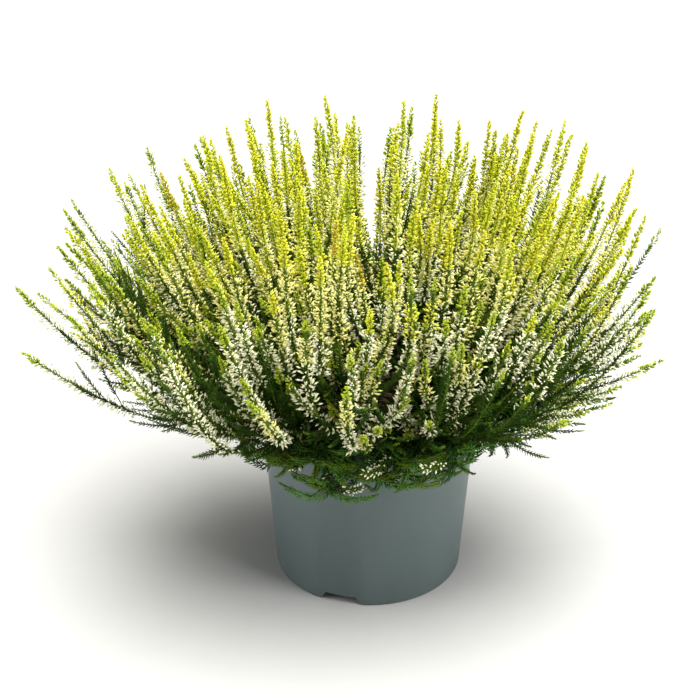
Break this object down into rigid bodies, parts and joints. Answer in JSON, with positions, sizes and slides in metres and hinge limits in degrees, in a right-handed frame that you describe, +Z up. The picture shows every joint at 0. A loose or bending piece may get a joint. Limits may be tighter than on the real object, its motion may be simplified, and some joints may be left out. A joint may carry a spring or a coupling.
{
  "type": "potted heather",
  "caption": "Bushy heather in flower with upright bud-covered spikes, in a tapered round plastic nursery pot of peat that stands on a flat base.",
  "frame": {"origin": "middle of the pot's flat underside", "axes": "+Z up out of the pot's mouth, -Y towards the front that the picture shows, +X to the right"},
  "size_m": [0.4076, 0.3081, 0.3291],
  "materials": {
    "pot": "slightly shiny moulded grey-blue plastic",
    "peat": "damp crumbly peat",
    "bark": "fine rough bark",
    "spikes": "satin buds and scale leaves",
    "foliage": "satin needles"
  },
  "bodies": {
    "root": {"bough_crown": "bark", "bough_low_1": "bark", "bough_low_10": "bark", "bough_low_2": "bark", "bough_low_3": "bark", "bough_low_4": "bark", "bough_low_5": "bark", "bough_low_6": "bark", "bough_low_7": "bark", "bough_low_8": "bark", "bough_low_9": "bark", "bough_mid_1": "bark", "bough_mid_2": "bark", "bough_mid_3": "bark", "bough_mid_4": "bark", "bough_mid_5": "bark", "bough_mid_6": "bark", "bough_mid_7": "bark", "bough_mid_8": "bark", "bough_top_1": "bark", "bough_top_2": "bark", "bough_top_3": "bark", "bough_top_4": "bark", "bough_top_5": "bark", "foot_shoots_1": "foliage", "foot_shoots_2": "foliage", "foot_shoots_3": "foliage", "foot_shoots_4": "foliage", "foot_shoots_5": "foliage", "foot_shoots_6": "foliage", "foot_shoots_7": "foliage", "foot_shoots_8": "foliage", "pot": "pot", "root_ball": "peat", "spikes_crown": "spikes", "spikes_low_1": "spikes", "spikes_low_10": "spikes", "spikes_low_2": "spikes", "spikes_low_3": "spikes", "spikes_low_4": "spikes", "spikes_low_5": "spikes", "spikes_low_6": "spikes", "spikes_low_7": "spikes", "spikes_low_8": "spikes", "spikes_low_9": "spikes", "spikes_mid_1": "spikes", "spikes_mid_2": "spikes", "spikes_mid_3": "spikes", "spikes_mid_4": "spikes", "spikes_mid_5": "spikes", "spikes_mid_6": "spikes", "spikes_mid_7": "spikes", "spikes_mid_8": "spikes", "spikes_top_1": "spikes", "spikes_top_2": "spikes", "spikes_top_3": "spikes", "spikes_top_4": "spikes", "spikes_top_5": "spikes", "stem": "bark"}
  },
  "joints": []
}
